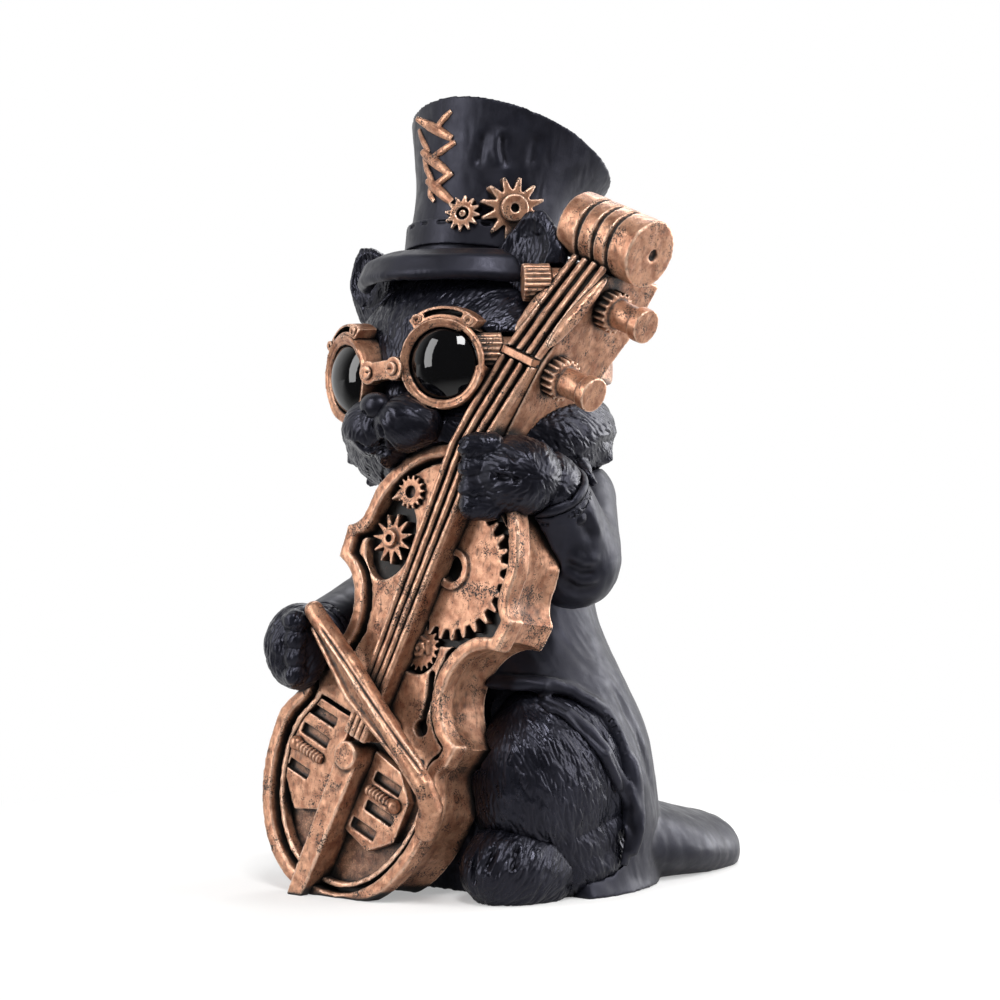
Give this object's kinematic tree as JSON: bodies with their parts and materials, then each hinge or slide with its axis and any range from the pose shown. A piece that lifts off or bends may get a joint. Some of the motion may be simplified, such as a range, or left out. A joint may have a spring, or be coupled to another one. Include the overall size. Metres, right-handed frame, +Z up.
{
  "type": "animal figurine",
  "caption": "Seated cat figurine in a tail coat, flared top hat and round goggles, bowing a gear-fronted cello; cast and painted black and bronze.",
  "frame": {"origin": "centre of the bottom of the bounding box, on the surface the figurine stands on", "axes": "+Z up through the hat, -Y the way the cat faces, +X the cat's left"},
  "size_m": [0.097, 0.1124, 0.18],
  "materials": {
    "bronze_paint": "worn bronze paint over cast resin",
    "lens_gloss": "high gloss black over cast resin",
    "coat_black": "satin black paint over cast resin",
    "fur_black": "satin black paint over cast resin"
  },
  "bodies": {
    "root": {"hat_gear_large": "bronze_paint", "hat_gear_hub": "bronze_paint", "hat_gear_small": "bronze_paint", "hat_gear_pin": "bronze_paint", "hat_lacing": "bronze_paint", "cello_body": "bronze_paint", "cello_rim": "bronze_paint", "fingerboard": "bronze_paint", "tailpiece": "bronze_paint", "neck_pegbox": "bronze_paint", "scroll": "bronze_paint", "cello_panel": "bronze_paint", "main_gear": "bronze_paint", "petal_gear": "bronze_paint", "small_gear": "bronze_paint", "lower_gear": "bronze_paint", "grille_left": "bronze_paint", "grille_right": "bronze_paint", "threaded_rods": "bronze_paint", "bow_stick": "bronze_paint", "nut": "bronze_paint", "string_1": "bronze_paint", "string_2": "bronze_paint", "string_3": "bronze_paint", "string_4": "bronze_paint", "bow_hair": "bronze_paint", "bridge": "bronze_paint", "tuning_peg_1": "bronze_paint", "tuning_peg_2": "bronze_paint", "tuning_peg_3": "bronze_paint", "tuning_peg_4": "bronze_paint", "goggle_rim_left": "bronze_paint", "goggle_rim_right": "bronze_paint", "goggle_bridge": "bronze_paint", "bridge_screws": "bronze_paint", "goggle_bracket_left": "bronze_paint", "goggle_bracket_right": "bronze_paint", "bracket_rivets": "bronze_paint", "goggle_strap": "bronze_paint", "lens_left": "lens_gloss", "lens_right": "lens_gloss", "hat_crown": "coat_black", "hat_band": "coat_black", "hat_brim": "coat_black", "coat": "coat_black", "sleeve_left": "coat_black", "sleeve_right": "coat_black", "cuff_left": "coat_black", "cuff_right": "coat_black", "torso": "fur_black", "thigh_left": "fur_black", "thigh_right": "fur_black", "foot_left": "fur_black", "foot_right": "fur_black", "paw_left": "fur_black", "paw_right": "fur_black", "head": "fur_black", "ear_left": "fur_black", "ear_right": "fur_black", "nose": "fur_black"}
  },
  "joints": []
}
